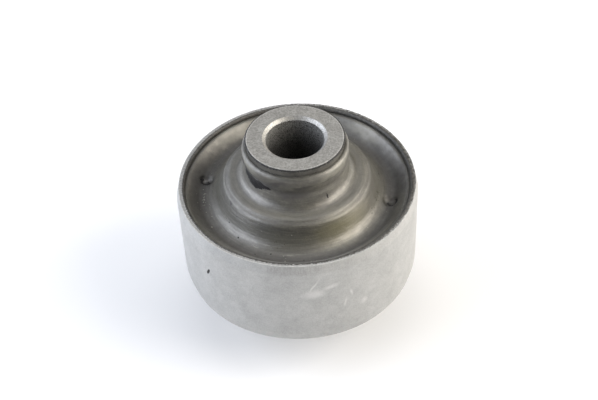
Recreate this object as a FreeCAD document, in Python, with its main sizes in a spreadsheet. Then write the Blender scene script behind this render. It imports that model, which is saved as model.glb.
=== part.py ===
"""Rubber metal bush: a plain steel outer sleeve and a longer steel inner sleeve, joined by a moulded
rubber ring. The origin is the middle of the bore, +Z runs along the bore and lengths are millimetres.
Both ends are alike, apart from the two gate marks in the upper trough, which lie on the X axis."""
import FreeCAD, Part

import math
import os

import Sketcher

# Driving dimensions
SIZES = {
    # Outer sleeve: a tube that is pressed into the eye of an arm
    "tube_radius": 30.0,
    "tube_wall": 2.0,
    "tube_height": 26.2,
    "lead_in_width": 0.6,
    "lead_in_length": 2.6,
    "land_chamfer": 0.4,
    # Inner sleeve: a thick tube that a bolt clamps between two brackets
    "bore_radius": 7.1,
    "sleeve_wall": 4.8,
    "sleeve_standout": 13.9,
    "bore_chamfer": 0.8,
    "edge_break": 0.12,
    # Rubber neck: a cuff round the inner sleeve and a waist under it
    "sleeve_reveal": 1.9,
    "cuff_wall": 1.1,
    "cuff_length": 2.7,
    "cuff_round": 1.0,
    "cuff_foot_round": 1.5,
    "waist_wall": 0.45,
    "waist_drop": 2.1,
    "waist_round": 3.0,
    # Ledge above the rim, with a small step down from its shoulder to the brow of the cone
    "ledge_height": 2.6,
    "brow_drop": 0.65,
    # Trough below the rim, and the lip where its wall meets the outer sleeve
    "trough_depth": 4.1,
    "lip_depth": 1.05,
    "lip_width": 0.6,
    "lip_round": 0.9,
    # Places across the rubber, as shares of the gap between the two sleeves
    "neck_foot_share": 0.096,
    "shoulder_share": 0.311,
    "seam_share": 0.348,
    "brow_share": 0.382,
    "cone_foot_share": 0.556,
    "trough_share": 0.776,
    # Rounds of the corners at those places, as shares of the same gap
    "neck_foot_round_share": 0.16,
    "shoulder_round_share": 0.10,
    "seam_round_share": 0.018,
    "brow_round_share": 0.035,
    "cone_foot_round_share": 0.26,
    "trough_round_share": 0.093,
    # Gate marks: shallow dishes in the trough, each with the stub of its torn gate
    "gate_share": 0.714,
    "gate_radius": 1.85,
    "gate_depth": 0.75,
    "gate_taper": 1.1,
    "gate_round": 0.9,
    "stub_radius": 0.35,
    "stub_height": 0.3,
}

# Levels and radii that follow from the driving dimensions
PLACES = {
    "rim_level": "tube_height / 2",
    "lead_in_level": "rim_level - lead_in_length",
    "rim_corner_radius": "tube_radius - lead_in_width",
    "tube_inner_radius": "tube_radius - tube_wall",
    "sleeve_radius": "bore_radius + sleeve_wall",
    "land_radius": "tube_inner_radius + land_chamfer",
    "land_chamfer_level": "rim_level - land_chamfer",
    "end_level": "rim_level + sleeve_standout",
    "bore_mouth_radius": "bore_radius + bore_chamfer",
    "bore_mouth_level": "end_level - bore_chamfer",
    "end_corner_radius": "sleeve_radius - edge_break",
    "end_corner_level": "end_level - edge_break",
    "gap": "tube_inner_radius - sleeve_radius",
    "cuff_level": "end_level - sleeve_reveal",
    "cuff_radius": "sleeve_radius + cuff_wall",
    "cuff_foot_level": "cuff_level - cuff_length",
    "waist_radius": "sleeve_radius + waist_wall",
    "waist_level": "cuff_foot_level - waist_drop",
    "neck_foot_radius": "sleeve_radius + neck_foot_share * gap",
    "neck_foot_round": "neck_foot_round_share * gap",
    "ledge_level": "rim_level + ledge_height",
    "shoulder_radius": "sleeve_radius + shoulder_share * gap",
    "shoulder_round": "shoulder_round_share * gap",
    "seam_radius": "sleeve_radius + seam_share * gap",
    "seam_round": "seam_round_share * gap",
    "brow_radius": "sleeve_radius + brow_share * gap",
    "brow_level": "ledge_level - brow_drop",
    "brow_round": "brow_round_share * gap",
    "cone_foot_radius": "sleeve_radius + cone_foot_share * gap",
    "cone_foot_round": "cone_foot_round_share * gap",
    "trough_radius": "sleeve_radius + trough_share * gap",
    "trough_level": "rim_level - trough_depth",
    "trough_round": "trough_round_share * gap",
    "lip_radius": "tube_inner_radius - lip_width",
    "lip_level": "rim_level - lip_depth",
    "gate_place": "sleeve_radius + gate_share * gap",
    "gate_edge": "gate_place + gate_radius",
    "gate_floor_edge": "gate_edge - gate_taper",
    "gate_floor_level": "trough_level - gate_depth",
    "stub_edge": "gate_place + stub_radius",
    "stub_level": "gate_floor_level + stub_height",
    "nothing": "0",
}


def make_sheet(doc):
    """Writes the driving dimensions as plain numbers, and the places as formulas of them."""
    sheet = doc.addObject("Spreadsheet::Sheet", "sizes")
    cells = [(alias, str(value)) for alias, value in SIZES.items()]
    cells += [(alias, "=" + formula) for alias, formula in PLACES.items()]
    for row, (alias, content) in enumerate(cells, start=1):
        sheet.set(f"A{row}", alias)
        sheet.set(f"B{row}", content)
        sheet.setAlias(f"B{row}", alias)
    doc.recompute()
    return sheet


def origin_part(body, role):
    """Returns one plane or axis of the body's own origin."""
    return next(part for part in body.Origin.OriginFeatures if part.Role == role)


def section_sketch(body, name):
    """Makes an empty sketch in the upright plane through the bore's axis."""
    sketch = body.newObject("Sketcher::SketchObject", name)
    sketch.AttachmentSupport = (origin_part(body, "XZ_Plane"), [""])
    sketch.MapMode = "FlatFace"
    return sketch


def bind(sketch, kind, references, alias, value):
    """Adds one dimension to the sketch and ties it to its cell in the sheet."""
    index = sketch.addConstraint(Sketcher.Constraint(kind, *references, value))
    sketch.setExpression(f"Constraints[{index}]", f"sizes.{alias}")


def corner_arc(before, corner, after, radius):
    """Works out the arc that rounds a corner: its two ends, its centre and which way it turns."""
    towards_before = (before - corner).normalize()
    towards_after = (after - corner).normalize()
    half_angle = towards_before.getAngle(towards_after) / 2
    start = corner + towards_before * (radius / math.tan(half_angle))
    end = corner + towards_after * (radius / math.tan(half_angle))
    inward = (towards_before + towards_after).normalize()
    centre = corner + inward * (radius / math.sin(half_angle))
    turns_left = towards_before.cross(towards_after).z < 0
    return start, end, centre, turns_left


def draw_outline(sketch, sheet, corners):
    """Draws a closed outline through named corners, each given as radius, level and rounding.

    Every corner is held at its sharp point, and a rounded one carries an arc that is tangent to
    both of its sides."""
    points = [FreeCAD.Vector(getattr(sheet, x), getattr(sheet, y), 0) for x, y, rounding in corners]
    count = len(corners)
    starts = list(points)
    ends = list(points)
    arcs = {}
    for i, (x, y, rounding) in enumerate(corners):
        if rounding:
            radius = getattr(sheet, rounding)
            arcs[i] = corner_arc(points[i - 1], points[i], points[(i + 1) % count], radius)
            ends[i] = arcs[i][0]
            starts[i] = arcs[i][1]
    lines = []
    for i in range(count):
        lines.append(sketch.addGeometry(Part.LineSegment(starts[i], ends[(i + 1) % count])))
    for i, (x, y, rounding) in enumerate(corners):
        side_before = lines[i - 1]
        side_after = lines[i]
        if not rounding:
            sketch.addConstraint(Sketcher.Constraint("Coincident", side_before, 2, side_after, 1))
            held = (side_after, 1)
        else:
            start, end, centre, turns_left = arcs[i]
            first, last = (start, end) if turns_left else (end, start)
            angles = [math.atan2(point.y - centre.y, point.x - centre.x) for point in (first, last)]
            if angles[1] < angles[0]:
                angles[1] += 2 * math.pi
            circle = Part.Circle(centre, FreeCAD.Vector(0, 0, 1), (start - centre).Length)
            arc = sketch.addGeometry(Part.ArcOfCircle(circle, *angles))
            meets_before, meets_after = (1, 2) if turns_left else (2, 1)
            sketch.addConstraint(Sketcher.Constraint("Tangent", side_before, 2, arc, meets_before))
            sketch.addConstraint(Sketcher.Constraint("Tangent", arc, meets_after, side_after, 1))
            bind(sketch, "Radius", (arc,), rounding, getattr(sheet, rounding))
            corner = sketch.addGeometry(Part.Point(points[i]), True)
            sketch.addConstraint(Sketcher.Constraint("PointOnObject", corner, 1, side_before))
            sketch.addConstraint(Sketcher.Constraint("PointOnObject", corner, 1, side_after))
            held = (corner, 1)
        bind(sketch, "DistanceX", (-1, 1, *held), x, points[i].x)
        bind(sketch, "DistanceY", (-1, 1, *held), y, points[i].y)


def turned_body(doc, sheet, label, corners):
    """Turns the outline of the upper half round the bore's axis and mirrors it to the lower half."""
    body = doc.addObject("PartDesign::Body", label)
    body.Label = label
    sketch = section_sketch(body, label + "_section")
    draw_outline(sketch, sheet, corners)
    upper = body.newObject("PartDesign::Revolution", label + "_upper")
    upper.Profile = sketch
    upper.ReferenceAxis = (sketch, ["V_Axis"])
    upper.Angle = 360
    whole = body.newObject("PartDesign::Mirrored", label + "_whole")
    whole.Originals = [upper]
    whole.MirrorPlane = (origin_part(body, "XY_Plane"), [""])
    body.Tip = whole
    doc.recompute()
    return body


def make_outer_sleeve(doc, sheet):
    """Steel tube with a long, shallow lead-in outside each end and a small chamfer inside it."""
    return turned_body(doc, sheet, "outer_sleeve", [
        ("tube_inner_radius", "nothing", None),
        ("tube_radius", "nothing", None),
        ("tube_radius", "lead_in_level", None),
        ("rim_corner_radius", "rim_level", None),
        ("land_radius", "rim_level", None),
        ("tube_inner_radius", "land_chamfer_level", None),
    ])


def make_inner_sleeve(doc, sheet):
    """Thick steel tube with chamfered bore mouths and broken outer edges."""
    return turned_body(doc, sheet, "inner_sleeve", [
        ("bore_radius", "nothing", None),
        ("sleeve_radius", "nothing", None),
        ("sleeve_radius", "end_corner_level", None),
        ("end_corner_radius", "end_level", None),
        ("bore_mouth_radius", "end_level", None),
        ("bore_radius", "bore_mouth_level", None),
    ])


def make_rubber(doc, sheet):
    """Rubber ring bonded between the sleeves, stepping down from the cuff to the trough at the rim."""
    body = turned_body(doc, sheet, "rubber", [
        ("sleeve_radius", "nothing", None),
        ("tube_inner_radius", "nothing", None),
        ("tube_inner_radius", "lip_level", None),
        ("lip_radius", "lip_level", "lip_round"),
        ("trough_radius", "trough_level", "trough_round"),
        ("cone_foot_radius", "trough_level", "cone_foot_round"),
        ("brow_radius", "brow_level", "brow_round"),
        ("seam_radius", "brow_level", "seam_round"),
        ("shoulder_radius", "ledge_level", "shoulder_round"),
        ("neck_foot_radius", "ledge_level", "neck_foot_round"),
        ("waist_radius", "waist_level", "waist_round"),
        ("cuff_radius", "cuff_foot_level", "cuff_foot_round"),
        ("cuff_radius", "cuff_level", "cuff_round"),
        ("sleeve_radius", "cuff_level", None),
    ])
    cut_gate_marks(doc, sheet, body)
    return body


def cut_gate_marks(doc, sheet, body):
    """Turns a dish with a stub in its middle out of the trough, and repeats it on the other side."""
    volume_before = body.Shape.Volume
    sketch = section_sketch(body, "gate_section")
    draw_outline(sketch, sheet, [
        ("gate_place", "stub_level", None),
        ("stub_edge", "stub_level", None),
        ("stub_edge", "gate_floor_level", None),
        ("gate_floor_edge", "gate_floor_level", "gate_round"),
        ("gate_edge", "trough_level", None),
        ("gate_edge", "rim_level", None),
        ("gate_place", "rim_level", None),
    ])
    foot = FreeCAD.Vector(sheet.gate_place, sheet.gate_floor_level, 0)
    top = FreeCAD.Vector(sheet.gate_place, sheet.rim_level, 0)
    axis = sketch.addGeometry(Part.LineSegment(foot, top), True)
    sketch.addConstraint(Sketcher.Constraint("Vertical", axis))
    bind(sketch, "DistanceX", (-1, 1, axis, 1), "gate_place", foot.x)
    bind(sketch, "DistanceY", (-1, 1, axis, 1), "gate_floor_level", foot.y)
    bind(sketch, "DistanceY", (-1, 1, axis, 2), "rim_level", top.y)
    dish = body.newObject("PartDesign::Groove", "gate_mark")
    dish.Profile = sketch
    dish.ReferenceAxis = (sketch, ["Axis0"])
    dish.Angle = 360
    doc.recompute()
    pair = body.newObject("PartDesign::PolarPattern", "gate_marks")
    pair.Originals = [dish]
    pair.Axis = (origin_part(body, "Z_Axis"), [""])
    pair.Angle = 360
    pair.Occurrences = 2
    body.Tip = pair
    doc.recompute()
    if body.Shape.Volume >= volume_before:
        raise RuntimeError("the gate marks cut nothing")


def check(doc, bodies):
    """Stops if any object failed, or if a body has no valid solid."""
    for thing in doc.Objects:
        if "Invalid" in thing.State or "Error" in thing.State:
            raise RuntimeError(f"{thing.Name} failed: {thing.State}")
    for body in bodies:
        if body.Shape.isNull() or not body.Shape.isValid() or len(body.Shape.Solids) != 1:
            raise RuntimeError(f"{body.Label} is not one valid solid")


def main():
    doc = FreeCAD.newDocument("rubber_metal_bush")
    sheet = make_sheet(doc)
    bodies = [make_outer_sleeve(doc, sheet), make_rubber(doc, sheet), make_inner_sleeve(doc, sheet)]
    doc.recompute()
    check(doc, bodies)
    os.makedirs("parts", exist_ok=True)
    for body in bodies:
        body.Shape.exportStep(f"parts/{body.Label}.step")
        box = body.Shape.BoundBox
        print(body.Label, "volume", round(body.Shape.Volume, 1), "faces", len(body.Shape.Faces),
              "box", round(box.XLength, 2), round(box.YLength, 2), round(box.ZLength, 2))


main()
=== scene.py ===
# %% [markdown]
# A rubber metal bush is three pieces that were moulded together: a thin steel tube outside, a thick
# steel tube inside and a ring of rubber bonded between them. The solids come from the frame, at
# their real size in metres, so this lesson is about finishes, the small marks of moulding, and
# light.

# %% Load the frame
import math

import bpy
import numpy as np
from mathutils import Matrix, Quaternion, Vector
from mathutils.bvhtree import BVHTree


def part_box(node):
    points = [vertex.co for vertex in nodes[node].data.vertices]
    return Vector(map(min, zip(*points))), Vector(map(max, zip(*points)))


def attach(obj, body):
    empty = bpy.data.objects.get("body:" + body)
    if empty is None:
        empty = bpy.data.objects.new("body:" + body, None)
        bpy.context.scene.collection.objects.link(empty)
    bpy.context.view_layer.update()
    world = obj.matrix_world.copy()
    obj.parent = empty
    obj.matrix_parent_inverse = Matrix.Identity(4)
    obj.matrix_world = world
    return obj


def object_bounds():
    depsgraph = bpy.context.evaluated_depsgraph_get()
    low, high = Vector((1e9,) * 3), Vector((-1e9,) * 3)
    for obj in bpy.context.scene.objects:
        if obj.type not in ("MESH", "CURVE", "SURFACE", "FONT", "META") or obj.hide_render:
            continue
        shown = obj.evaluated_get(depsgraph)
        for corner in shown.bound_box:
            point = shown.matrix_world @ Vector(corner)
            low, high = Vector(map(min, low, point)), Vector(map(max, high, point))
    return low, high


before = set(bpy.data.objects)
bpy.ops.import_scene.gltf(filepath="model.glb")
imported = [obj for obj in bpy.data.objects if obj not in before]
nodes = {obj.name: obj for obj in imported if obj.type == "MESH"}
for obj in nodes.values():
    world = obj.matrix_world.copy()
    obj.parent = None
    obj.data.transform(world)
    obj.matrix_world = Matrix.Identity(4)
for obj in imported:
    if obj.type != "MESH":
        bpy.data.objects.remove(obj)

MM = 0.001
cad_box = [list(corner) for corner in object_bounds()]
floor_level = cad_box[0][2]
end_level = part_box("inner_sleeve")[1][2]
rim_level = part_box("outer_sleeve")[1][2]
sleeve_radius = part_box("inner_sleeve")[1][0]
tube_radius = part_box("outer_sleeve")[1][0]
print("box", cad_box, "rim at", rim_level, "end face at", end_level)

# %% [markdown]
# The photograph looks down on the bush from about 43 degrees, through a lens a little longer than
# normal. Its place is measured from the middle of the rim, because every outline in the photograph
# is a circle round the bore's axis.

# %% Camera
CAMERA_DISTANCE = 291.8 * MM
CAMERA_AZIMUTH = math.radians(-76.67)
CAMERA_ELEVATION = math.radians(43.19)
CAMERA_ROLL = math.radians(-2.83)
LENS = 70.85
CLIP_START = 10 * MM
AIM = Vector((0.26 * MM, 0.06 * MM, 5.87 * MM))


def direction(azimuth, elevation):
    """Unit vector at an azimuth from +X towards +Y and an elevation above the floor, in radians."""
    flat = math.cos(elevation)
    return Vector((flat * math.cos(azimuth), flat * math.sin(azimuth), math.sin(elevation)))


camera = bpy.data.objects.new("camera", bpy.data.cameras.new("camera"))
bpy.context.scene.collection.objects.link(camera)
bpy.context.scene.camera = camera
camera.data.lens = LENS
camera.data.clip_start = CLIP_START
rim_centre = Vector((0, 0, rim_level))
camera.location = rim_centre + direction(CAMERA_AZIMUTH, CAMERA_ELEVATION) * CAMERA_DISTANCE
camera.rotation_mode = "QUATERNION"
aimed = (AIM - camera.location).to_track_quat("-Z", "Y")
camera.rotation_quaternion = aimed @ Quaternion((0, 0, 1), CAMERA_ROLL)
print("camera at", camera.location)

# %% [markdown]
# Two tall soft boxes reach up from the table at the left and right. The right one is warm and the
# stronger, the left one is cool. Rubber shows each of them as a broad pale band, and the width of
# such a band on a round shoulder tells how wide the box has to be. Both are leant over, with the
# top nearer to the camera than the foot. A low white card behind each one carries its band on round
# the neck, dimmer. A panel overhead lights what faces up, such as the ledge.

# %% Colours and lights


def srgb(code):
    """Turns a hex colour as written into linear red, green, blue and alpha, as Blender mixes."""
    channels = [int(code[i:i + 2], 16) / 255 for i in (1, 3, 5)]
    return [c / 12.92 if c <= 0.04045 else ((c + 0.055) / 1.055) ** 2.4 for c in channels] + [1.0]


def soft_box(name, azimuth, elevation, distance, width, height, lean, radiance, colour):
    """Adds a rectangular area light that faces the bush, leant in its own plane by some degrees."""
    light = bpy.data.lights.new(name, "AREA")
    light.shape = "RECTANGLE"
    light.size = width
    light.size_y = height
    light.energy = radiance * math.pi * width * height
    light.color = srgb(colour)[:3]
    lamp = bpy.data.objects.new(name, light)
    bpy.context.scene.collection.objects.link(lamp)
    lamp.location = direction(math.radians(azimuth), math.radians(elevation)) * distance
    upright = (-lamp.location).to_track_quat("-Z", "Y")
    lamp.rotation_mode = "QUATERNION"
    lamp.rotation_quaternion = upright @ Quaternion((0, 0, 1), math.radians(lean))
    print(name, "at", lamp.location, "energy", round(light.energy, 2))


soft_box("right_box", azimuth=4, elevation=29, distance=0.62, width=0.42, height=0.70,
         lean=27, radiance=6.3, colour="#FFF9F0")
soft_box("left_box", azimuth=196, elevation=27, distance=0.62, width=0.60, height=0.68,
         lean=-24, radiance=4.2, colour="#EAF1FF")
soft_box("right_back_card", azimuth=46, elevation=13, distance=0.66, width=0.44, height=0.34,
         lean=0, radiance=1.7, colour="#FFFAF2")
soft_box("left_back_card", azimuth=150, elevation=16, distance=0.66, width=0.42, height=0.44,
         lean=0, radiance=1.3, colour="#E9EFFF")
soft_box("top_box", azimuth=88, elevation=68, distance=0.70, width=0.80, height=0.56,
         lean=0, radiance=1.4, colour="#FAFBFF")

# %% [markdown]
# A node tree is built one node at a time, so one small function does all of it: it makes a node,
# sets its settings and values, and links what it is given. The camera sees a pure white backdrop
# through the Light Path node. All other rays see a dim room, so what faces the camera stays dark
# between its bright bands.

# %% Node helper


def add(tree, kind, values=None, links=None, **settings):
    """Adds a node, sets its settings and input values, and links given outputs to its inputs."""
    made = tree.nodes.new(kind)
    for name, setting in settings.items():
        setattr(made, name, setting)
    for socket, value in (values or {}).items():
        made.inputs[socket].default_value = value
    for socket, source in (links or {}).items():
        tree.links.new(source, made.inputs[socket])
    return made


def strongest(tree, parts):
    """Merges several masks into one that is as high as the highest of them."""
    merged = parts[0]
    for part in parts[1:]:
        both = {0: merged, 1: part}
        merged = add(tree, "ShaderNodeMath", None, both, operation="MAXIMUM").outputs[0]
    return merged


# %% World
ROOM_LEVEL = 0.05
WHITE = (1.0, 1.0, 1.0, 1.0)

world = bpy.data.worlds.new("studio")
world.use_nodes = True
bpy.context.scene.world = world
tree = world.node_tree
tree.nodes.clear()
path = add(tree, "ShaderNodeLightPath")
room = add(tree, "ShaderNodeBackground", {"Color": WHITE, "Strength": ROOM_LEVEL})
white = add(tree, "ShaderNodeBackground", {"Color": WHITE, "Strength": 1.0})
direct = strongest(tree, [path.outputs["Is Camera Ray"], path.outputs["Is Transmission Ray"]])
mix = add(tree, "ShaderNodeMixShader", None, {0: direct, 1: room.outputs[0], 2: white.outputs[0]})
add(tree, "ShaderNodeOutputWorld", None, {"Surface": mix.outputs[0]})

# %% [markdown]
# The bush stands on glowing white paper. The glow bounces up on the tube from all sides, as light
# does on a bright table, and leaves the boxes to draw the shadows. No glow comes from right under
# the bush, where light cannot get. Far off the paper only glows, so that it melts into the
# backdrop, and from below it is clear, so that the underside can be seen.

# %% Floor
FLOOR_SHARE = 0.22
FLOOR_SHOWN = 1.03
FLOOR_BOUNCE = 2.3
FLOOR_NEAR = 0.15
FLOOR_FAR = 0.6
FLOOR_REACH = 1.5
SHOWN_TO = ("Is Camera Ray", "Is Glossy Ray", "Is Transmission Ray")
SHADE_INNER = 12 * MM
SHADE_OUTER = 20 * MM

floor_mesh = bpy.data.meshes.new("floor")
quarters = ((-1, -1), (1, -1), (1, 1), (-1, 1))
corners = [(x * FLOOR_REACH, y * FLOOR_REACH, floor_level) for x, y in quarters]
floor_mesh.from_pydata(corners, [], [(0, 1, 2, 3)])
floor = bpy.data.objects.new("floor", floor_mesh)
bpy.context.scene.collection.objects.link(floor)

paper = bpy.data.materials.new("white_backdrop_paper")
paper.use_nodes = True
tree = paper.node_tree
tree.nodes.clear()
path = add(tree, "ShaderNodeLightPath")
seen = strongest(tree, [path.outputs[kind] for kind in SHOWN_TO])
matt = add(tree, "ShaderNodeBsdfDiffuse", {"Color": srgb("#F6F6F6")})
bounce = add(tree, "ShaderNodeMapRange", {"To Min": FLOOR_BOUNCE, "To Max": FLOOR_SHOWN},
             {"Value": seen})
glow = add(tree, "ShaderNodeEmission", {"Color": WHITE}, {"Strength": bounce.outputs[0]})
spot = add(tree, "ShaderNodeTexCoord").outputs["Object"]
spread = add(tree, "ShaderNodeVectorMath", None, {0: spot}, operation="LENGTH")
share = add(tree, "ShaderNodeMapRange",
            {"From Min": FLOOR_NEAR, "From Max": FLOOR_FAR, "To Min": FLOOR_SHARE},
            {"Value": spread.outputs["Value"]}, interpolation_type="SMOOTHSTEP")
lit = add(tree, "ShaderNodeMapRange", {"From Min": SHADE_INNER, "From Max": SHADE_OUTER},
          {"Value": spread.outputs["Value"], "To Max": share.outputs[0]})
mix = add(tree, "ShaderNodeMixShader", None,
          {0: lit.outputs[0], 1: matt.outputs[0], 2: glow.outputs[0]})
below = add(tree, "ShaderNodeNewGeometry").outputs["Backfacing"]
clear = add(tree, "ShaderNodeBsdfTransparent")
paper_side = add(tree, "ShaderNodeMixShader", None,
                 {0: below, 1: mix.outputs[0], 2: clear.outputs[0]})
add(tree, "ShaderNodeOutputMaterial", None, {"Surface": paper_side.outputs[0]})
floor_mesh.materials.append(paper)
print("floor at", floor_level)

# %% [markdown]
# Everything on the bush was turned or moulded round one axis, so its marks are easiest to place by
# radius, azimuth and height. These helpers read Object coordinates: one gives those numbers, one
# gives a grain of a real size, and one gives a soft blot round a point of the surface.

# %% Places and grain


def per_metre(size_mm):
    """The scale at which a texture repeats about every size_mm millimetres."""
    return 1 / (size_mm * MM)


def on_ring(azimuth, radius_mm, height_mm):
    """The point at an azimuth in degrees, a radius, and a height above the middle of the bush."""
    turn = math.radians(azimuth)
    return Vector((radius_mm * math.cos(turn), radius_mm * math.sin(turn), height_mm)) * MM


def round_places(tree):
    """Gives Object coordinates, radius and height on the bush, and the direction from its axis."""
    coords = add(tree, "ShaderNodeTexCoord").outputs["Object"]
    split = add(tree, "ShaderNodeSeparateXYZ", None, {0: coords})
    flat = add(tree, "ShaderNodeCombineXYZ", None, {0: split.outputs[0], 1: split.outputs[1]})
    length = add(tree, "ShaderNodeVectorMath", None, {0: flat.outputs[0]}, operation="LENGTH")
    outward = add(tree, "ShaderNodeVectorMath", None, {0: flat.outputs[0]}, operation="NORMALIZE")
    return {"coords": coords, "radius": length.outputs["Value"], "height": split.outputs[2],
            "outward": outward.outputs[0]}


def grain(tree, vector, size_mm, detail=2.0, roughness=0.5, low=0.35, high=0.65):
    """Cloudy noise of a real size, stretched so that it runs from nought to one."""
    kind = {"Scale": per_metre(size_mm), "Detail": detail, "Roughness": roughness}
    noise = add(tree, "ShaderNodeTexNoise", kind, {"Vector": vector})
    return add(tree, "ShaderNodeMapRange", {"From Min": low, "From Max": high},
               {"Value": noise.outputs[0]}).outputs[0]


def shaken(tree, vector, size_mm, reach_mm):
    """Moves coordinates about by noise, so that the edge of a blot drawn on them is uneven."""
    kind = {"Scale": per_metre(size_mm), "Detail": 3.0}
    noise = add(tree, "ShaderNodeTexNoise", kind, {"Vector": vector})
    shift = add(tree, "ShaderNodeVectorMath", {1: (0.5, 0.5, 0.5)}, {0: noise.outputs["Color"]},
                operation="SUBTRACT")
    reach = [2 * reach_mm * MM] * 3
    return add(tree, "ShaderNodeVectorMath", {1: reach}, {0: shift.outputs[0], 2: vector},
               operation="MULTIPLY_ADD").outputs[0]


# %% Blots, layers and relief


def blot(tree, vector, azimuth, radius_mm, height_mm, across_mm, up_mm, tilt=0, softness=0.5,
         deep_mm=4):
    """One inside an oval lump of space, fading to nought at its edge; tilt leans it, in degrees."""
    middle = {"Location": on_ring(azimuth, radius_mm, height_mm),
              "Rotation": (0.0, 0.0, math.radians(azimuth + 90))}
    placed = add(tree, "ShaderNodeMapping", middle, {"Vector": vector}, vector_type="TEXTURE")
    oval = {"Rotation": (0.0, math.radians(tilt), 0.0),
            "Scale": (across_mm * MM, deep_mm * MM, up_mm * MM)}
    leant = add(tree, "ShaderNodeMapping", oval, {"Vector": placed.outputs[0]},
                vector_type="TEXTURE")
    far = add(tree, "ShaderNodeVectorMath", None, {0: leant.outputs[0]}, operation="LENGTH")
    return add(tree, "ShaderNodeMapRange", {"From Min": 1.0, "From Max": 1.0 - softness},
               {"Value": far.outputs["Value"]}, interpolation_type="SMOOTHSTEP").outputs[0]


RING_CORE = 0.3


def ring_mark(tree, place, radius_mm, height_mm, reach_mm):
    """One on a circle at a radius and a height, fading to nought at a reach from that circle."""
    section = add(tree, "ShaderNodeCombineXYZ", None, {0: place["radius"], 1: place["height"]})
    centre = (radius_mm * MM, height_mm * MM, 0.0)
    away = add(tree, "ShaderNodeVectorMath", {1: centre}, {0: section.outputs[0]},
               operation="DISTANCE")
    fade = {"From Min": reach_mm * MM, "From Max": RING_CORE * reach_mm * MM}
    return add(tree, "ShaderNodeMapRange", fade, {"Value": away.outputs["Value"]},
               interpolation_type="SMOOTHSTEP").outputs[0]


def layered(tree, colour, layers):
    """Lays hex colours over a colour, each by a pattern times a strength."""
    for code, pattern, strength in layers:
        share = add(tree, "ShaderNodeMath", {1: strength}, {0: pattern}, operation="MULTIPLY")
        colour = add(tree, "ShaderNodeMix", {7: srgb(code)}, {0: share.outputs[0], 6: colour},
                     data_type="RGBA").outputs[2]
    return colour


def between(tree, pattern, low_code, high_code):
    """A colour that goes from one hex colour to another as a pattern goes from nought to one."""
    plain = add(tree, "ShaderNodeRGB")
    plain.outputs[0].default_value = srgb(low_code)
    return layered(tree, plain.outputs[0], [(high_code, pattern, 1.0)])


def relief(tree, layers, normal=None):
    """Raises the surface by patterns of real depths in millimetres, one on top of the other."""
    for pattern, depth_mm in layers:
        links = {"Height": pattern}
        if normal:
            links["Normal"] = normal
        normal = add(tree, "ShaderNodeBump", {"Distance": depth_mm * MM}, links).outputs[0]
    return normal


def finish(name, build):
    """Makes a material whose node tree is filled by a function that returns its surface shader."""
    material = bpy.data.materials.new(name)
    material.use_nodes = True
    tree = material.node_tree
    tree.nodes.clear()
    shader = build(tree)
    add(tree, "ShaderNodeOutputMaterial", None, {"Surface": shader.outputs[0]})
    print(name, len(tree.nodes), "nodes")
    return material


def dress(piece, material):
    """Gives every slot of a piece one material."""
    if not piece.data.materials:
        piece.data.materials.append(material)
    for slot in piece.material_slots:
        slot.material = material


# %% [markdown]
# The rubber is natural rubber filled with carbon black, moulded in a turned steel mould. A thin
# waxy bloom rose out of it, so it looks pewter grey, with a broad satin shine. The wax lies in
# clouds, the mould's turning marks run round it as faint lines, and handling has left dark smears
# on the neck, an olive stain and a nick on the cone, and scuffs in the trough.

# %% Marks on the rubber
NECK_SMEARS = [
    dict(azimuth=-140, radius_mm=12.6, height_mm=20.8, across_mm=6.0, up_mm=2.6, tilt=24,
         softness=0.6),
    dict(azimuth=-115, radius_mm=12.6, height_mm=21.2, across_mm=5.4, up_mm=2.1, softness=0.7),
    dict(azimuth=-100, radius_mm=13.0, height_mm=22.8, across_mm=3.6, up_mm=1.0, tilt=-18,
         softness=0.6),
    dict(azimuth=-84, radius_mm=12.6, height_mm=19.8, across_mm=6.5, up_mm=2.0, softness=0.8),
    dict(azimuth=-70, radius_mm=12.6, height_mm=22.0, across_mm=3.4, up_mm=1.2, tilt=-10,
         softness=0.8),
]
CONE_NICK = dict(azimuth=-139, radius_mm=18.7, height_mm=14.3, across_mm=0.9, up_mm=0.5, tilt=24)
GATE_RESIDUE = [
    dict(azimuth=180, radius_mm=23.6, height_mm=8.6, across_mm=1.6, up_mm=1.6, deep_mm=1.9,
         softness=0.4),
    dict(azimuth=1, radius_mm=24.3, height_mm=8.6, across_mm=1.2, up_mm=1.6, deep_mm=1.0,
         softness=0.5),
]
# Paler wax bloom on the back walls of the trough, where the boxes' bands fall: painted highlight.
WALL_PAINTED_HIGHLIGHTS = [
    dict(azimuth=142, radius_mm=26.5, height_mm=10.8, across_mm=9, up_mm=2.2, softness=0.8),
    dict(azimuth=58, radius_mm=26.5, height_mm=10.8, across_mm=9, up_mm=2.2, softness=0.8),
]
# Paler wax bloom on the cuff, where the boxes' bands fall: painted highlight.
CUFF_PAINTED_HIGHLIGHTS = [
    dict(azimuth=-145, radius_mm=13.2, height_mm=23.6, across_mm=7.5, up_mm=1.6, softness=0.7),
    dict(azimuth=-25, radius_mm=13.2, height_mm=23.8, across_mm=10.0, up_mm=2.0, softness=0.7),
]
CONE_STAIN = dict(azimuth=-42, radius_mm=20.0, height_mm=12.6, across_mm=13, up_mm=5, softness=0.9,
                  deep_mm=7)
# A paler ring on the ledge, which faces up: painted light.
LEDGE_PAINTED_LIGHT = dict(radius_mm=15.8, height_mm=15.8, reach_mm=1.5)
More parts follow.
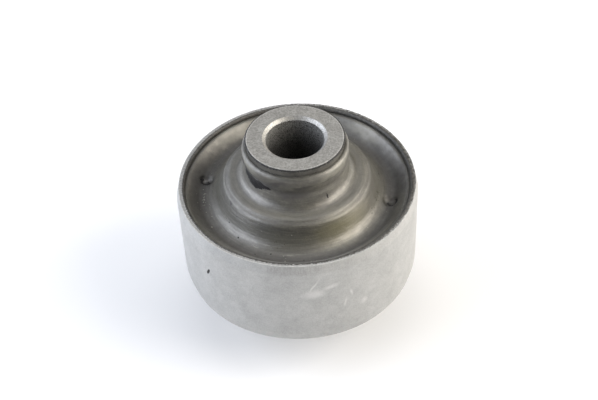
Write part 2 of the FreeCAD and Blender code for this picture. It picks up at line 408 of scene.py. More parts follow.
# A ring at the cone's foot: smoother from polish, and painted paler as a painted highlight.
CONE_POLISH_AND_HIGHLIGHT = dict(radius_mm=20.1, height_mm=11.0, reach_mm=2.8)
TROUGH_SCUFFS = [
    dict(azimuth=-106, radius_mm=21.7, height_mm=9.4, across_mm=1.1, up_mm=1.5, deep_mm=0.18),
    dict(azimuth=-99.5, radius_mm=20.8, height_mm=9.9, across_mm=1.1, up_mm=1.5, deep_mm=0.18),
    dict(azimuth=-84, radius_mm=22.3, height_mm=9.3, across_mm=1.7, up_mm=1.5, deep_mm=0.16),
]
# Patches painted darker on the trough walls beside the gate marks: painted shade.
GATE_PAINTED_SHADE = [
    dict(azimuth=-176, radius_mm=25.6, height_mm=10.0, across_mm=8, up_mm=3.5, softness=0.8,
         deep_mm=4),
    dict(azimuth=14, radius_mm=25.8, height_mm=10.0, across_mm=8, up_mm=3.5, softness=0.8,
         deep_mm=4),
]
STREAK_LENGTH = 1.5 * MM
TROUGH_LEVEL = 9.1 * MM
TROUGH_SHADE_TOP = 11.6 * MM
TROUGH_SHADE_START = 21.4 * MM
TROUGH_SHADE_FULL = 23.4 * MM


def turning_lines(tree, place, size_mm):
    """Grain drawn out round the axis, as a mould's turning marks are, and fine across it."""
    around = add(tree, "ShaderNodeVectorMath", {1: [STREAK_LENGTH] * 3}, {0: place["outward"]},
                 operation="MULTIPLY")
    slant = add(tree, "ShaderNodeMath", None, {0: place["radius"], 1: place["height"]},
                operation="SUBTRACT")
    rise = add(tree, "ShaderNodeCombineXYZ", None, {2: slant.outputs[0]})
    along = add(tree, "ShaderNodeVectorMath", None, {0: around.outputs[0], 1: rise.outputs[0]},
                operation="ADD")
    return grain(tree, along.outputs[0], size_mm, detail=3.0, roughness=0.6)


# %% Rubber
SOFT_CORNER = 1.2 * MM
WAX_IOR = 2.1


def moulded_natural_rubber(tree):
    """Natural rubber from a turned mould: pewter grey, with a soft shine under a waxy bloom."""
    place = round_places(tree)
    coords = place["coords"]
    clouds = grain(tree, coords, 6.0, detail=4.0, roughness=0.55, low=0.3, high=0.7)
    mottle = grain(tree, coords, 1.4, detail=3.0, roughness=0.6)
    flecks = grain(tree, coords, 0.4, detail=2.0)
    lines = turning_lines(tree, place, 0.45)
    streaks = turning_lines(tree, place, 1.3)
    uneven = shaken(tree, coords, 2.2, 1.2)
    ragged = shaken(tree, coords, 0.9, 0.4)
    smears = strongest(tree, [blot(tree, uneven, **shape) for shape in NECK_SMEARS])
    nick = blot(tree, ragged, **CONE_NICK)
    residue = strongest(tree, [blot(tree, ragged, **shape) for shape in GATE_RESIDUE])
    stain = blot(tree, uneven, **CONE_STAIN)
    # Pale patches of wax bloom that stand in for broad bands of light: painted highlight.
    painted_highlight = strongest(tree, [blot(tree, uneven, **shape) for shape in WALL_PAINTED_HIGHLIGHTS + CUFF_PAINTED_HIGHLIGHTS])
    # Painted light on the ledge.
    ledge_light = ring_mark(tree, place, **LEDGE_PAINTED_LIGHT)
    # Smoother polish, and a paler colour that is painted highlight.
    polish_and_highlight = ring_mark(tree, place, **CONE_POLISH_AND_HIGHLIGHT)
    scuffs = strongest(tree, [blot(tree, ragged, **shape) for shape in TROUGH_SCUFFS])
    gate_painted_shade = strongest(tree, [blot(tree, uneven, **shape) for shape in GATE_PAINTED_SHADE])
    # The trough is painted darker towards its floor, out from the cone's foot: painted shade.
    outside = add(tree, "ShaderNodeMapRange", {"From Min": TROUGH_SHADE_START, "From Max": TROUGH_SHADE_FULL},
                  {"Value": place["radius"]}, interpolation_type="SMOOTHSTEP")
    trough_painted_shade = add(tree, "ShaderNodeMapRange", {"From Min": TROUGH_SHADE_TOP, "From Max": TROUGH_LEVEL},
                {"Value": place["height"], "To Max": outside.outputs[0]}).outputs[0]
    trough_painted_shade = strongest(tree, [trough_painted_shade, gate_painted_shade])
    # Near black #131314 below is painted shade in the trough.
    colour = layered(tree, between(tree, clouds, "#403E37", "#545247"), [
        ("#8B897C", lines, 0.48), ("#2B2A26", mottle, 0.42), ("#22211D", streaks, 0.50),
        ("#1F1E1C", flecks, 0.42), ("#131314", trough_painted_shade, 0.75), ("#918F84", painted_highlight, 0.50),
        # Pale rings: painted light on the ledge, painted highlight at the cone's foot.
        ("#8A887E", ledge_light, 0.22), ("#8A887E", polish_and_highlight, 0.18),
        ("#78734F", stain, 0.50), ("#17151A", smears, 0.78), ("#9A988C", scuffs, 0.30),
        ("#0E0C0E", nick, 1.0), ("#0B0A0A", residue, 1.0)])
    rough = add(tree, "ShaderNodeMapRange", {"To Min": 0.38, "To Max": 0.25},
                {"Value": clouds}).outputs[0]
    dull = strongest(tree, [trough_painted_shade, nick])
    for pattern, gain in [(mottle, 0.13), (streaks, 0.08), (polish_and_highlight, -0.055), (dull, 0.22)]:
        rough = add(tree, "ShaderNodeMath", {1: gain}, {0: pattern, 2: rough},
                    operation="MULTIPLY_ADD").outputs[0]
    rough = add(tree, "ShaderNodeMapRange", {"To Max": 0.30},
                {"Value": residue, "To Min": rough}).outputs[0]
    orange_peel = grain(tree, coords, 1.6, low=0.2, high=0.8)
    skin = grain(tree, coords, 0.35, detail=3.0, low=0.2, high=0.8)
    rounded = add(tree, "ShaderNodeBevel", {"Radius": SOFT_CORNER}, samples=6)
    normal = relief(tree, [(lines, 0.022), (orange_peel, 0.03), (skin, 0.022)], rounded.outputs[0])
    waxy = {"Metallic": 0.0, "IOR": WAX_IOR, "Specular Tint": srgb("#FFFBF4"),
            "Sheen Weight": 0.12, "Sheen Roughness": 0.4}
    return add(tree, "ShaderNodeBsdfPrincipled", waxy,
               {"Base Color": colour, "Roughness": rough, "Normal": normal})


dress(nodes["rubber"], finish("moulded_natural_rubber", moulded_natural_rubber))

# %% [markdown]
# The outer sleeve is steel tube, cut and turned at its ends, then phosphated: a bath grows tiny
# grey crystals on it, so it looks matt and even, a little mottled, with paler rubs. Short lines run
# down its lead-in where it was gripped. Flash was torn off its end face, so that is darker and
# rough, and one side of it keeps black crumbs.

# %% Marks on the outer sleeve
TUBE_RUBS = [
    dict(azimuth=-72, radius_mm=30, height_mm=3.6, across_mm=4.0, up_mm=2.4, softness=0.9),
    dict(azimuth=-72, radius_mm=30, height_mm=6.0, across_mm=4.6, up_mm=0.4, tilt=-61,
         softness=0.9),
    dict(azimuth=-57, radius_mm=30, height_mm=-1.4, across_mm=0.5, up_mm=2.6, tilt=10,
         softness=1.0),
    dict(azimuth=-54, radius_mm=30, height_mm=1.6, across_mm=0.5, up_mm=1.9, tilt=-14,
         softness=1.0),
    dict(azimuth=-47, radius_mm=30, height_mm=-3.4, across_mm=1.4, up_mm=1.9, softness=1.0),
    dict(azimuth=-64, radius_mm=30, height_mm=5.4, across_mm=3.0, up_mm=1.0, tilt=-12,
         softness=1.0),
]
TUBE_NICK = dict(azimuth=-125.2, radius_mm=30, height_mm=2.6, across_mm=0.42, up_mm=1.45, tilt=26,
                 softness=0.35)
GRIP_MARKS = dict(azimuth=-80, radius_mm=30, height_mm=11.9, across_mm=12, up_mm=1.5, softness=0.6)
GRIP_STRETCH = (1.0, 1.0, 0.1)
CRUMB_SIDE = math.radians(42)
CRUMB_START, CRUMB_FULL, CRUMB_LEAST = -0.1, 0.8, 0.30
LAND_START = rim_level - 0.12 * MM
LAND_FULL = rim_level - 0.03 * MM
# A pale line along the outer edge of the end face: painted highlight.
EDGE_HIGHLIGHT_START = tube_radius - 0.85 * MM
EDGE_HIGHLIGHT_FULL = tube_radius - 0.65 * MM

# %% Outer sleeve
STEEL_METALLIC = 0.45


def phosphated_steel(tree):
    """Cut steel tube, phosphated: light grey, matt and fine; end face worn bare, a painted highlight
    at its edge.
    """
    place = round_places(tree)
    coords = place["coords"]
    clouds = grain(tree, coords, 7.0, detail=5.0, roughness=0.6, low=0.3, high=0.7)
    blotches = grain(tree, coords, 2.8, detail=4.0, roughness=0.65)
    mottle = grain(tree, coords, 0.8, detail=3.0, roughness=0.6)
    crystals = grain(tree, coords, 0.30, detail=2.0, roughness=0.6)
    uneven = shaken(tree, coords, 2.6, 0.5)
    rubs = strongest(tree, [blot(tree, uneven, **shape) for shape in TUBE_RUBS])
    nick = blot(tree, shaken(tree, coords, 0.8, 0.12), **TUBE_NICK)
    upright = add(tree, "ShaderNodeVectorMath", {1: GRIP_STRETCH}, {0: coords}, operation="MULTIPLY")
    drawn = grain(tree, upright.outputs[0], 0.45, detail=2.0)
    gripped = blot(tree, coords, **GRIP_MARKS)
    grip = add(tree, "ShaderNodeMath", None, {0: drawn, 1: gripped}, operation="MULTIPLY")
    level = add(tree, "ShaderNodeMath", None, {0: place["height"]}, operation="ABSOLUTE")
    face = add(tree, "ShaderNodeMapRange", {"From Min": LAND_START, "From Max": LAND_FULL},
               {"Value": level.outputs[0]}).outputs[0]
    torn = grain(tree, coords, 0.55, detail=4.0, roughness=0.7, low=0.4, high=0.62)
    side = add(tree, "ShaderNodeVectorMath", {1: direction(CRUMB_SIDE, 0)}, {0: place["outward"]},
               operation="DOT_PRODUCT")
    crumbly = add(tree, "ShaderNodeMapRange",
                  {"From Min": CRUMB_START, "From Max": CRUMB_FULL, "To Min": CRUMB_LEAST},
                  {"Value": side.outputs["Value"]})
    crumbs = add(tree, "ShaderNodeMath", None, {0: torn, 1: crumbly.outputs[0]},
                 operation="MULTIPLY")
    # Painted highlight along the end face's outer edge.
    painted_highlight = add(tree, "ShaderNodeMapRange", {"From Min": EDGE_HIGHLIGHT_START, "From Max": EDGE_HIGHLIGHT_FULL},
               {"Value": place["radius"]}).outputs[0]
    bare = layered(tree, between(tree, clouds, "#A9A8A4", "#BBBAB6"), [
        ("#82817E", crystals, 0.45), ("#E6E5E1", painted_highlight, 0.55),
        ("#2D2C2A", crumbs.outputs[0], 0.95)])
    colour = layered(tree, between(tree, clouds, "#A7A7A5", "#B5B5B3"), [
        ("#82817E", crystals, 0.36), ("#D4D3D0", blotches, 0.18), ("#8B8A87", mottle, 0.10),
        ("#E0DFDB", rubs, 0.32), ("#908E8A", grip.outputs[0], 0.45), ("#2B2A29", nick, 1.0)])
    colour = add(tree, "ShaderNodeMix", None, {0: face, 6: colour, 7: bare},
                 data_type="RGBA").outputs[2]
    rough = add(tree, "ShaderNodeMapRange", {"To Min": 0.60, "To Max": 0.48}, {"Value": rubs})
    waves = grain(tree, coords, 4.0, low=0.2, high=0.8)
    scars = add(tree, "ShaderNodeMath", None, {0: crumbs.outputs[0], 1: face}, operation="MULTIPLY")
    hollow = add(tree, "ShaderNodeMath", {0: 1.0}, {1: nick}, operation="SUBTRACT")
    normal = relief(tree, [(waves, 0.02), (scars.outputs[0], 0.05), (hollow.outputs[0], 0.25),
                           (grip.outputs[0], 0.02), (crystals, 0.012)])
    return add(tree, "ShaderNodeBsdfPrincipled", {"Metallic": STEEL_METALLIC},
               {"Base Color": colour, "Roughness": rough.outputs[0], "Normal": normal})


dress(nodes["outer_sleeve"], finish("phosphated_steel", phosphated_steel))

# %% [markdown]
# The inner sleeve is thick steel tube, faced off at its ends and blasted. The blasting leaves an
# even grey grain on the end face, with a painted glint round its edge. The bore keeps the pitted
# scale of the drawn tube, painted darker further in as shade, and the strip of the outside above
# the rubber still has the primer that glues the rubber on.

# %% Inner sleeve
BORE_RADIUS = 7.1 * MM
BORE_ZONE = (BORE_RADIUS + 0.20 * MM, BORE_RADIUS + 0.05 * MM)
MOUTH_ZONE = (BORE_RADIUS + 0.86 * MM, BORE_RADIUS + 0.74 * MM)
# A pale ring at the outer edge of the end face: painted glint.
EDGE_GLINT_ZONE = (sleeve_radius - 0.38 * MM, sleeve_radius - 0.10 * MM)
PRIMER_ZONE = (sleeve_radius - 0.08 * MM, sleeve_radius - 0.02 * MM)
BORE_SHADE_TOP = end_level - 1.2 * MM
BORE_SHADE_FADE = 7 * MM


def blasted_steel(tree):
    """Faced and blasted steel: an even grey grain, a painted glint at the edge, pitted inside,
    darker further in.
    """
    place = round_places(tree)
    coords = place["coords"]
    shot = grain(tree, coords, 0.4, detail=3.0, roughness=0.7)
    clouds = grain(tree, coords, 3.0, detail=3.0, low=0.3, high=0.7)
    inside, mouth, edge, outside = (
        add(tree, "ShaderNodeMapRange", {"From Min": start, "From Max": full},
            {"Value": place["radius"]}).outputs[0]
        for start, full in (BORE_ZONE, MOUTH_ZONE, EDGE_GLINT_ZONE, PRIMER_ZONE))
    # E8E6E0 on the edge ring is a painted glint.
    colour = layered(tree, between(tree, clouds, "#9D9B95", "#B0AEA8"), [
        ("#E8E6E0", edge, 0.75), ("#D6D4CE", mouth, 0.5), ("#5B5955", shot, 0.6)])
    pits = grain(tree, coords, 0.22, detail=2.0)
    # The bore is painted darker further in: painted shade.
    level = add(tree, "ShaderNodeMath", None, {0: place["height"]}, operation="ABSOLUTE")
    bore_shade = add(tree, "ShaderNodeMapRange", {"From Min": BORE_SHADE_TOP, "From Max": BORE_SHADE_TOP - BORE_SHADE_FADE},
              {"Value": level.outputs[0]}).outputs[0]
    scale = layered(tree, between(tree, pits, "#464543", "#C6C5C1"), [("#2C2B29", bore_shade, 0.72)])
    primer = layered(tree, between(tree, clouds, "#4E4C47", "#6C6A64"), [("#2E2D2A", shot, 0.18)])
    for zone, cover in [(inside, scale), (outside, primer)]:
        colour = add(tree, "ShaderNodeMix", None, {0: zone, 6: colour, 7: cover},
                     data_type="RGBA").outputs[2]
    matt = add(tree, "ShaderNodeMapRange", {"To Min": 0.55, "To Max": 0.42}, {"Value": mouth})
    rough = add(tree, "ShaderNodeMapRange", {"To Max": 0.36},
                {"Value": outside, "To Min": matt.outputs[0]})
    waves = grain(tree, coords, 2.5, low=0.2, high=0.8)
    normal = relief(tree, [(waves, 0.01), (shot, 0.014)])
    return add(tree, "ShaderNodeBsdfPrincipled", {"Metallic": STEEL_METALLIC},
               {"Base Color": colour, "Roughness": rough.outputs[0], "Normal": normal})


dress(nodes["inner_sleeve"], finish("blasted_steel", blasted_steel))

# %% [markdown]
# Small pieces that moulding leaves behind are surfaces of their own. Each is a section carried
# round the bore's axis, worked out as whole arrays. A sum of cosines with random starts makes a
# ragged edge that still meets itself after one turn.

# %% Surface helpers


def ripple(azimuth, slowest, quickest, seed):
    """Sum of cosines with slowest to quickest waves a turn and random starts; about -2 to 2."""
    waves = np.arange(slowest, quickest + 1)
    starts = np.random.default_rng(seed).uniform(0, 2 * np.pi, waves.size)
    return np.cos(np.multiply.outer(azimuth, waves) + starts).sum(axis=-1) / np.sqrt(waves.size / 2)


def add_mesh(name, points, faces, material):
    """Makes a smooth mesh piece of one material that rides with the bush."""
    mesh = bpy.data.meshes.new(name)
    mesh.from_pydata(points.tolist(), [], faces)
    mesh.polygons.foreach_set("use_smooth", np.ones(len(faces), dtype=bool))
    mesh.materials.append(material)
    piece = bpy.data.objects.new(name, mesh)
    bpy.context.scene.collection.objects.link(piece)
    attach(piece, "root")
    print(name, len(faces), "faces")


def make_piece(name, points, faces, material):
    """Turns the faces of a closed band outwards, by the sign of the volume that they enclose."""
    a, b, c, d = (points[faces[:, i]] for i in range(4))
    wedges = np.einsum("ij,ij->i", a, np.cross(b, c)) + np.einsum("ij,ij->i", a, np.cross(c, d))
    if wedges.sum() < 0:
        faces = faces[:, ::-1]
    add_mesh(name, points, faces.tolist(), material)


def carried_round(azimuth, radius, height):
    """Closed band of points (radius cos azimuth, radius sin azimuth, height), one section a row."""
    rows, columns = radius.shape
    around = azimuth[:, None]
    points = np.stack([radius * np.cos(around), radius * np.sin(around), height], axis=-1)
    here = np.arange(rows * columns).reshape(rows, columns)
    beside = np.roll(here, -1, axis=1)
    next_here, next_beside = np.roll(here, -1, axis=0), np.roll(beside, -1, axis=0)
    faces = np.stack([here, next_here, next_beside, beside], axis=-1)
    return points.reshape(-1, 3), faces.reshape(-1, 4)


# %% [markdown]
# Rubber under pressure creeps out between the mould and the end face of the tube. The thin flash
# that it leaves climbs the tube's inner wall and ends in a ragged edge on the end face, wider on
# the side where it was torn off last. Both ends have it.

# %% Rim flash
FLASH_STEPS = 1440
FLASH_THICKNESS = 0.05 * MM
FLASH_ROOT = 0.02 * MM
FLASH_WIDEST = 0.8 * MM
FLASH_NARROW = 0.10
FLASH_TORN = 0.50
FLASH_SLOW, FLASH_WAVER = (3, 16), 0.05
FLASH_QUICK, FLASH_FRAY, FLASH_FRAY_TORN = (60, 300), 0.04, 0.05
FLASH_LIFT = np.array([1.0, 1.0, 0.8, 0.3])
FLASH_INWARD = np.array([1.0, 0.8, 0.2, 0.0])
TORN_SIDE = math.radians(-10)
TUBE_WALL = 2.0 * MM
LAND_CHAMFER = 0.4 * MM
LIP_DEPTH = 1.05 * MM


def torn_rubber_flash(tree):
    """Thin torn rubber: nearly black, dull and crumpled, with a few grey specks."""
    coords = add(tree, "ShaderNodeTexCoord").outputs["Object"]
    skin = grain(tree, coords, 0.7, detail=4.0, roughness=0.65)
    specks = grain(tree, coords, 0.25, detail=2.0)
    colour = layered(tree, between(tree, skin, "#1C1B19", "#4E4C48"), [("#8E8C84", specks, 0.2)])
    return add(tree, "ShaderNodeBsdfPrincipled", {"Metallic": 0.0, "Roughness": 0.5},
               {"Base Color": colour, "Normal": relief(tree, [(skin, 0.04)])})


flash_finish = finish("torn_rubber_flash", torn_rubber_flash)


def rim_flash(name, side, seed):
    """Skin that climbs the tube's wall and chamfer to a ragged edge on the end face.

    Its width there is a steady part, plus a part times half of one plus the cosine of the azimuth
    from the torn side, plus slow and quick ripples. The skin lies a thickness off the steel, less
    towards its edge, and its section comes back just inside the steel.
    """
    azimuth = np.linspace(0, 2 * np.pi, FLASH_STEPS, endpoint=False)
    torn = 0.5 + 0.5 * np.cos(azimuth - TORN_SIDE)
    slow = FLASH_WAVER * ripple(azimuth, *FLASH_SLOW, seed)
    quick = (FLASH_FRAY + FLASH_FRAY_TORN * torn) * ripple(azimuth, *FLASH_QUICK, seed + 1)
    width = (FLASH_NARROW + FLASH_TORN * torn + (slow + quick)) * MM
    width = np.clip(width, FLASH_ROOT, FLASH_WIDEST)
    edge = tube_radius - TUBE_WALL + LAND_CHAMFER + width
    wall = np.full_like(edge, tube_radius - TUBE_WALL)
    steel_radius = np.stack([wall, wall, wall + LAND_CHAMFER, edge], axis=1)
    levels = [rim_level - LIP_DEPTH, rim_level - LAND_CHAMFER, rim_level, rim_level]
    steel_height = np.broadcast_to(levels, steel_radius.shape)
    lift = FLASH_LIFT * FLASH_THICKNESS
    upward = 1 - FLASH_INWARD
    skin_radius = steel_radius - lift * FLASH_INWARD
    skin_height = steel_height + lift * upward
    root_radius = steel_radius + FLASH_ROOT * FLASH_INWARD
    root_height = steel_height - FLASH_ROOT * upward
    radius = np.concatenate([skin_radius, root_radius[:, ::-1]], axis=1)
    height = np.concatenate([skin_height, root_height[:, ::-1]], axis=1)
    points, faces = carried_round(azimuth, radius, side * height)
    make_piece(name, points, faces, flash_finish)


rim_flash("rim_flash_upper", 1, 11)
rim_flash("rim_flash_lower", -1, 12)

# %% [markdown]
# A thin black bead lies round the edge of the end face, where the gap beside it lies in shade. It
# draws that shade as a fine dark line round the face, with ragged places: painted shade.

# %% Shade bead
BEAD_STEPS = 900
BEAD_HEIGHT = 0.2 * MM
BEAD_WIDEST = 0.42 * MM
BEAD_ROOT = 0.16 * MM
BEAD_OUT = 0.28
BEAD_SLOW, BEAD_WAVER = (4, 30), 0.03
BEAD_QUICK, BEAD_FRAY = (50, 160), 0.04
BEAD_BELOW_FACE = 0.02 * MM
BEAD_SHOULDER_OUT = 0.4
BEAD_SHOULDER_DROP = 0.1
BEAD_BELLY_DROP = 0.5


def shade_bead_black(tree):
    """Black, dull and lumpy: a bead that draws painted shade round the end face."""
    coords = add(tree, "ShaderNodeTexCoord").outputs["Object"]
    lumps = grain(tree, coords, 0.3, detail=3.0)
    colour = between(tree, lumps, "#161514", "#33312F")
    normal = relief(tree, [(lumps, 0.03)])
    return add(tree, "ShaderNodeBsdfPrincipled", {"Metallic": 0.0, "Roughness": 0.6},
               {"Base Color": colour, "Normal": normal})


shade_bead_finish = finish("shade_bead_black", shade_bead_black)


def shade_bead(name, side, seed):
    """Flat lens round the sleeve's edge: a steady width plus ripples, and as much more height."""
    azimuth = np.linspace(0, 2 * np.pi, BEAD_STEPS, endpoint=False)
    slow = BEAD_WAVER * ripple(azimuth, *BEAD_SLOW, seed)
    quick = BEAD_FRAY * ripple(azimuth, *BEAD_QUICK, seed + 1)
    out = np.clip((BEAD_OUT + (slow + quick)) * MM, 0.0, BEAD_WIDEST)
    drop = BEAD_HEIGHT + out
    top = np.full_like(out, end_level - BEAD_BELOW_FACE)
    root = np.full_like(out, sleeve_radius - BEAD_ROOT)
    shoulder = sleeve_radius + BEAD_SHOULDER_OUT * out
    radius = np.stack([root, shoulder, sleeve_radius + out, root], axis=1)
    levels = [top, top - BEAD_SHOULDER_DROP * out, top - BEAD_BELLY_DROP * drop, top - drop]
    height = np.stack(levels, axis=1)
    points, faces = carried_round(azimuth, radius, side * height)
    make_piece(name, points, faces, shade_bead_finish)


shade_bead("primer_bead_upper", 1, 21)
shade_bead("primer_bead_lower", -1, 22)

# %% [markdown]
# Trimming leaves crumbs of rubber and specks of pale dust on the cone and in the trough. Each is a
# small lump: a globe whose radius goes in and out at random. A ray cast down on the rubber says
# where it lies, and all lumps of a kind are one mesh, because they never move apart.

# %% Globe
LUMP_ROWS = 5
LUMP_COLUMNS = 8


def globe_grid(rows, columns):
    """Unit globe of points (sin p cos t, sin p sin t, cos p): quads between two polar fans."""
    polar = np.linspace(0, np.pi, rows + 1)[1:-1]
    turn = np.linspace(0, 2 * np.pi, columns, endpoint=False)
    ring = np.stack([np.outer(np.sin(polar), np.cos(turn)), np.outer(np.sin(polar), np.sin(turn)),
                     np.outer(np.cos(polar), np.ones(columns))], axis=-1).reshape(-1, 3)
    points = np.vstack([ring, [[0, 0, 1], [0, 0, -1]]])
    here = np.arange(len(ring)).reshape(-1, columns)
    beside = np.roll(here, -1, axis=1)
    sides = np.stack([here[:-1], here[1:], beside[1:], beside[:-1]], axis=-1)
    north = [[len(ring), a, b] for a, b in zip(here[0], beside[0])]
    south = [[len(ring) + 1, b, a] for a, b in zip(here[-1], beside[-1])]
    return points, sides.reshape(-1, 4).tolist() + north + south


# %% Scatter
RAY_ABOVE_MM = 4
DOWN = Vector((0, 0, -1))
LUMP_SIZES = (0.5, 1.0)
LUMP_SIDES = (0.7, 1.3)
LUMP_FLATNESS = 0.5
LUMP_DENTS = (0.75, 1.15)


def scatter(name, node, spots, size_mm, material, seed):
    """Lays one lump on a node at each spot, given as azimuth in degrees and radius in millimetres.

    A lump is a globe times its size, two sides and a flatness, with each point drawn in or out by a
    factor of its own, and turned about the vertical.
    """
    draw = np.random.default_rng(seed)
    globe, globe_faces = globe_grid(LUMP_ROWS, LUMP_COLUMNS)
    ground = BVHTree.FromObject(nodes[node], bpy.context.evaluated_depsgraph_get())
    points = []
    faces = []
    for azimuth, radius_mm in spots:
        above = on_ring(azimuth, radius_mm, rim_level / MM + RAY_ABOVE_MM)
        landed = ground.ray_cast(above, DOWN)[0]
        size = size_mm * MM * draw.uniform(*LUMP_SIZES)
        sides = draw.uniform(*LUMP_SIDES), draw.uniform(*LUMP_SIDES)
        stretch = size * np.array([*sides, LUMP_FLATNESS])
        turn = draw.uniform(0, np.pi)
        cos, sin = np.cos(turn), np.sin(turn)
        spin = np.array([[cos, -sin, 0], [sin, cos, 0], [0, 0, 1]])
        lump = (globe * stretch * draw.uniform(*LUMP_DENTS, (len(globe), 1))) @ spin.T
        faces += [[corner + len(globe) * len(points) for corner in face] for face in globe_faces]
        points.append(lump + np.array(landed))
    add_mesh(name, np.vstack(points), faces, material)


# %% Crumbs and dust
RIM_CRUMBS = 110
RIM_AZIMUTH = (14, 18)
RIM_BAND_MM = (28.45, 29.3)
DARK_SPOTS = [(-133, 20.3), (-120, 21.5), (-104, 23.6), (-95, 22.4), (-75, 23.7), (-128, 19.0),
              (24, 21.0)]
PALE_SPOTS = [(-152, 23.5), (-166, 23.3), (-158, 22.2), (-147, 22.6), (-171, 21.4), (-139, 24.0),
              (-71, 24.4)]
DUST_COUNT = 60
DUST_BAND_MM = (19.0, 26.0)
GATE_DUST = 16
GATE_DUST_AZIMUTH = (-163, 3.5)
GATE_DUST_RADIUS_MM = (23.3, 0.5)
GATE_RADIUS_MM = 23.9
GATE_ARCS = [(180, 1.3, 130, 370, 44), (0, 1.35, -30, 60, 14), (0, 1.35, 170, 290, 16)]


def gate_arc(draw, azimuth, arc_mm, start, stop, count):
    """Azimuths and radii of crumbs along an arc round a gate mark, with its angles in degrees."""
    sweep = np.radians(draw.uniform(start, stop, count))
    reach = arc_mm * draw.uniform(0.6, 1.0, count)
    middle = np.radians(azimuth)
    x = GATE_RADIUS_MM * np.cos(middle) + reach * np.cos(sweep)
    y = GATE_RADIUS_MM * np.sin(middle) + reach * np.sin(sweep)
    return list(zip(np.degrees(np.arctan2(y, x)), np.hypot(x, y)))


def rubber_crumb(tree):
    """Torn rubber crumbs: nearly black and dull."""
    coords = add(tree, "ShaderNodeTexCoord").outputs["Object"]
    lumps = grain(tree, coords, 0.25, detail=3.0)
    colour = between(tree, lumps, "#1B1A19", "#3A3835")
    return add(tree, "ShaderNodeBsdfPrincipled", {"Metallic": 0.0, "Roughness": 0.7},
               {"Base Color": colour, "Normal": relief(tree, [(lumps, 0.03)])})


def moulding_dust(tree):
    """Pale dust from the mould's release powder: grey and chalky."""
    coords = add(tree, "ShaderNodeTexCoord").outputs["Object"]
    lumps = grain(tree, coords, 0.2, detail=3.0)
    colour = between(tree, lumps, "#77756D", "#A19F95")
    return add(tree, "ShaderNodeBsdfPrincipled", {"Metallic": 0.0, "Roughness": 0.8},
               {"Base Color": colour, "Normal": relief(tree, [(lumps, 0.02)])})


crumb_finish = finish("rubber_crumb", rubber_crumb)
draw = np.random.default_rng(31)
rim_azimuths = draw.normal(*RIM_AZIMUTH, RIM_CRUMBS)
rim_spots = list(zip(rim_azimuths, draw.uniform(*RIM_BAND_MM, RIM_CRUMBS)))
dust_azimuths = draw.uniform(-180, 180, DUST_COUNT)
dust_spots = list(zip(dust_azimuths, draw.uniform(*DUST_BAND_MM, DUST_COUNT)))
gate_azimuths = draw.normal(*GATE_DUST_AZIMUTH, GATE_DUST)
gate_dust = list(zip(gate_azimuths, draw.normal(*GATE_DUST_RADIUS_MM, GATE_DUST)))
gate_spots = [spot for arc in GATE_ARCS for spot in gate_arc(draw, *arc)]
scatter("gate_crumbs", "rubber", gate_spots, size_mm=0.34, material=crumb_finish, seed=36)
scatter("rubber_crumbs", "rubber", DARK_SPOTS, size_mm=0.32, material=crumb_finish, seed=32)
scatter("rim_crumbs", "outer_sleeve", rim_spots, size_mm=0.17, material=crumb_finish, seed=34)
dust_finish = finish("moulding_dust", moulding_dust)
scatter("trough_dust", "rubber", dust_spots, size_mm=0.14, material=dust_finish, seed=33)
scatter("gate_dust", "rubber", PALE_SPOTS + gate_dust, size_mm=0.24, material=dust_finish, seed=35)

# %% [markdown]
# Black grease from the mould sticks to the neck at the left, and a small dab sits at its right
# foot. Each dab is a globe pressed flat on the neck: one axis of it goes round the bore, one goes
# up the neck, and the thin one goes outwards. Waves in its outline make it ragged. The neck's own
# radius is measured by rays from the side.

# %% Grease
GREASE_DABS = [
    dict(azimuth=-141, height_mm=20.5, across_mm=4.2, up_mm=1.75, tilt=-16, seed=41),
    dict(azimuth=-156, height_mm=21.9, across_mm=2.6, up_mm=1.1, tilt=-24, seed=42),
    dict(azimuth=-122, height_mm=20.3, across_mm=2.9, up_mm=0.9, tilt=-4, seed=43),
    dict(azimuth=-133, height_mm=19.2, across_mm=1.7, up_mm=0.7, tilt=-10, seed=44),
    dict(azimuth=-43.7, height_mm=17.3, across_mm=0.24, up_mm=0.75, tilt=8, seed=45),
]
GREASE_THICKNESS = 0.05 * MM
DAB_ROWS = 24
DAB_COLUMNS = 120
DAB_SLOW, DAB_WAVER = (2, 7), 0.16
DAB_QUICK, DAB_FRAY = (8, 26), 0.05
NECK_SIDE = -135
NECK_HEIGHTS_MM = np.arange(17.0, 25.0, 0.1)
RAY_START_MM = 40


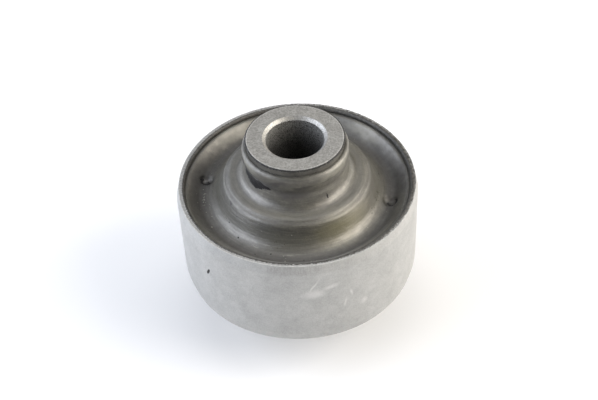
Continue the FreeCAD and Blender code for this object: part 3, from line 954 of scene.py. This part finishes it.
def black_grease(tree):
    """Thick mould grease: black, with a patchy gloss."""
    coords = add(tree, "ShaderNodeTexCoord").outputs["Object"]
    patches = grain(tree, coords, 1.1, detail=4.0, roughness=0.6)
    fine = grain(tree, coords, 0.3, detail=2.0)
    colour = layered(tree, between(tree, patches, "#070607", "#1B1A1D"), [("#2C2B2C", fine, 0.15)])
    rough = add(tree, "ShaderNodeMapRange", {"To Min": 0.30, "To Max": 0.48}, {"Value": patches})
    normal = relief(tree, [(patches, 0.03)])
    return add(tree, "ShaderNodeBsdfPrincipled", {"Metallic": 0.0, "IOR": 1.4},
               {"Base Color": colour, "Roughness": rough.outputs[0], "Normal": normal})


def neck_profile():
    """Radius of the neck at each of many heights, measured on the side where the grease is."""
    ground = BVHTree.FromObject(nodes["rubber"], bpy.context.evaluated_depsgraph_get())
    inward = -direction(math.radians(NECK_SIDE), 0)
    starts = [on_ring(NECK_SIDE, RAY_START_MM, height) for height in NECK_HEIGHTS_MM]
    hits = [ground.ray_cast(start, inward)[0] for start in starts]
    return NECK_HEIGHTS_MM * MM, np.array([hit.xy.length for hit in hits])


def grease(name, dabs):
    """Presses a ragged globe on the neck for each dab, all in one mesh.

    Across and up, a globe is stretched by one plus ripples of its angle, then leant by the tilt.
    A point's radius is the neck's radius at its height, plus the thin axis.
    """
    globe, globe_faces = globe_grid(DAB_ROWS, DAB_COLUMNS)
    heights, radii = neck_profile()
    points = []
    faces = []
    for dab in dabs:
        turn = np.arctan2(globe[:, 1], globe[:, 0])
        ragged = 1 + DAB_WAVER * ripple(turn, *DAB_SLOW, dab["seed"])
        ragged = ragged + DAB_FRAY * ripple(turn, *DAB_QUICK, dab["seed"] + 10)
        right = globe[:, 0] * ragged * dab["across_mm"] * MM
        up = globe[:, 1] * ragged * dab["up_mm"] * MM
        tilt = math.radians(dab["tilt"])
        height = dab["height_mm"] * MM + right * math.sin(tilt) + up * math.cos(tilt)
        radius = np.interp(height, heights, radii) + globe[:, 2] * GREASE_THICKNESS
        across = right * math.cos(tilt) - up * math.sin(tilt)
        azimuth = math.radians(dab["azimuth"]) + across / radius
        faces += [[corner + len(globe) * len(points) for corner in face] for face in globe_faces]
        points.append(np.stack([radius * np.cos(azimuth), radius * np.sin(azimuth), height],
                               axis=-1))
    add_mesh(name, np.vstack(points), faces, finish("black_grease", black_grease))


grease("neck_grease", GREASE_DABS)

# %% [markdown]
# The view is left plain, so that colours come out as they were mixed.

# %% Finish
bpy.context.scene.view_settings.view_transform = "Standard"
